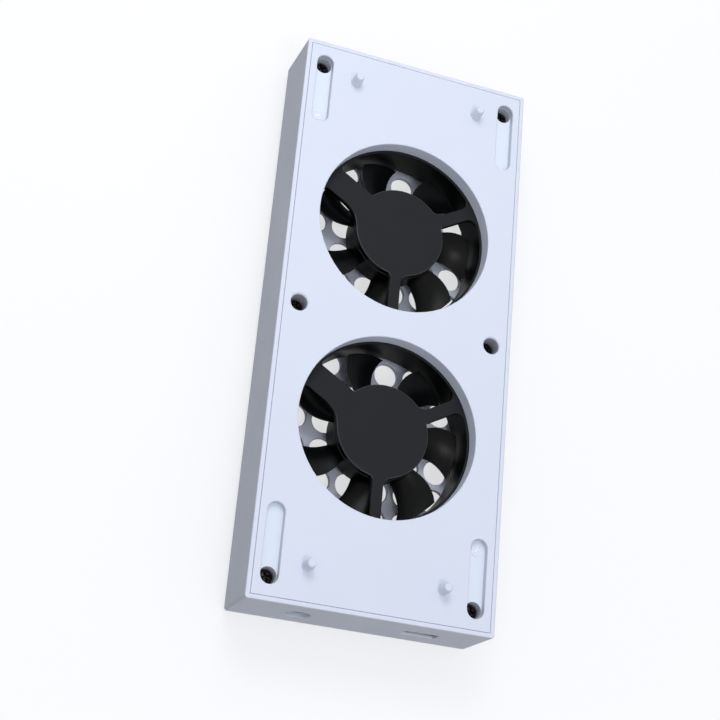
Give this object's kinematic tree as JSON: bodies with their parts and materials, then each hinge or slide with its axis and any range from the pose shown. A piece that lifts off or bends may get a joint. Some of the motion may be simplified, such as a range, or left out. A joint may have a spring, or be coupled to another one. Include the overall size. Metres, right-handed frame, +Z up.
{
  "type": "console cooling stand",
  "caption": "Flat white stand with recessed axial fans that cool a game console from below, with locating pegs, rubber feet, a power inlet and a slide switch.",
  "frame": {"origin": "centre of the case's plan, at the underside of the rubber feet", "axes": "+X across the case, +Y along it away from the ports, +Z up out of the pegged cover"},
  "size_m": [0.066, 0.1574, 0.0242],
  "materials": {
    "white_plastic": "satin moulded ABS",
    "black_steel": "black oxide",
    "grey_rubber": "matt silicone",
    "black_plastic": "satin moulded PBT",
    "glossy_black_plastic": "polished moulded PBT",
    "steel": "plain",
    "ferrite": "bonded ferrite",
    "nylon": "natural nylon",
    "bronze": "plain",
    "copper": "enamelled copper wire",
    "circuit_board": "solder mask on laminate",
    "black_insulation": "PVC insulation",
    "red_insulation": "PVC insulation",
    "brown_laminate": "phenolic laminate"
  },
  "bodies": {
    "case": {"housing": "white_plastic", "cover": "white_plastic", "case_screws": "black_steel", "rubber_feet": "grey_rubber", "rear_fan_frame": "black_plastic", "rear_bearing": "bronze", "rear_core": "steel", "rear_insulator": "nylon", "rear_coils": "copper", "rear_board": "circuit_board", "rear_drive_chip": "black_plastic", "rear_black_lead": "black_insulation", "rear_red_lead": "red_insulation", "front_fan_frame": "black_plastic", "front_bearing": "bronze", "front_core": "steel", "front_insulator": "nylon", "front_coils": "copper", "front_board": "circuit_board", "front_drive_chip": "black_plastic", "front_black_lead": "black_insulation", "front_red_lead": "red_insulation", "inlet_body": "black_plastic", "inlet_pin": "steel", "inlet_spring": "bronze", "inlet_lead": "red_insulation", "switch_shell": "steel", "switch_base": "brown_laminate", "switch_terminals": "bronze"},
    "rear_rotor": {"rear_impeller": "glossy_black_plastic", "rear_yoke": "steel", "rear_magnet": "ferrite", "rear_shaft": "steel", "rear_clip": "nylon"},
    "front_rotor": {"front_impeller": "glossy_black_plastic", "front_yoke": "steel", "front_magnet": "ferrite", "front_shaft": "steel", "front_clip": "nylon"},
    "knob": {"switch_knob": "white_plastic", "switch_wiper": "bronze"}
  },
  "joints": [
    {"name": "rear_spin", "type": "hinge", "parent": "case", "child": "rear_rotor", "pos_m": [0, 0.0287, 0.011], "axis": [0, 0, 1], "continuous": true},
    {"name": "front_spin", "type": "hinge", "parent": "case", "child": "front_rotor", "pos_m": [0, -0.0287, 0.011], "axis": [0, 0, 1], "continuous": true},
    {"name": "switch_slide", "type": "slide", "parent": "case", "child": "knob", "axis": [1, 0, 0], "range_m": [0, 0.004]}
  ]
}
